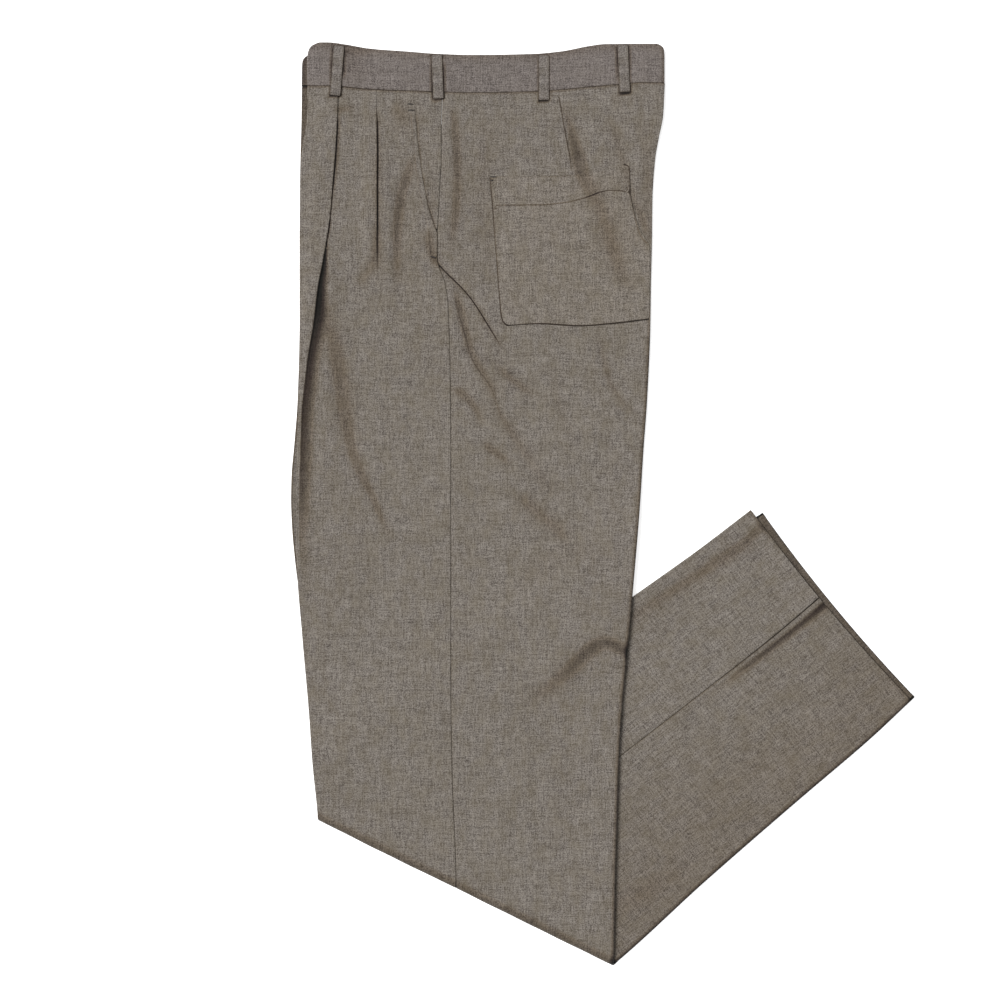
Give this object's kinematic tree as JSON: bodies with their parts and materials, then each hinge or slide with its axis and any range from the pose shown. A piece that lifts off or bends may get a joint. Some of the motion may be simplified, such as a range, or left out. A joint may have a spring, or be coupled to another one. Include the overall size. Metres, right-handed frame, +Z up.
{
  "type": "folded pleated dress trousers",
  "caption": "Pleated dress trousers laid on their side and folded under at the knee, with belt loops, slanted side pockets and a patch pocket on the seat",
  "frame": {"origin": "middle of the folded garment's outline, on the surface it lies on", "axes": "+Y up the garment towards the waist, +X from the front crease towards the back crease, +Z up from the surface it lies on"},
  "size_m": [0.5359, 0.7914, 0.0141],
  "materials": {
    "cloth": "matt taupe plain-weave worsted with fine irregular light and dark threads",
    "inner_cloth": "the same matt taupe worsted, seen only at the layers' edges"
  },
  "bodies": {
    "root": {"front_left": "cloth", "back_left": "cloth", "waistband_left": "cloth", "side_pocket_left": "cloth", "belt_loop_left_1": "cloth", "belt_loop_left_2": "cloth", "belt_loop_left_3": "cloth", "belt_loop_left_4": "cloth", "front_right": "cloth", "back_right": "cloth", "waistband_right": "cloth", "side_pocket_right": "cloth", "belt_loop_right_1": "cloth", "belt_loop_right_2": "cloth", "belt_loop_right_3": "cloth", "belt_loop_right_4": "cloth", "back_pocket_left": "cloth", "hidden_layers": "inner_cloth"}
  },
  "joints": []
}
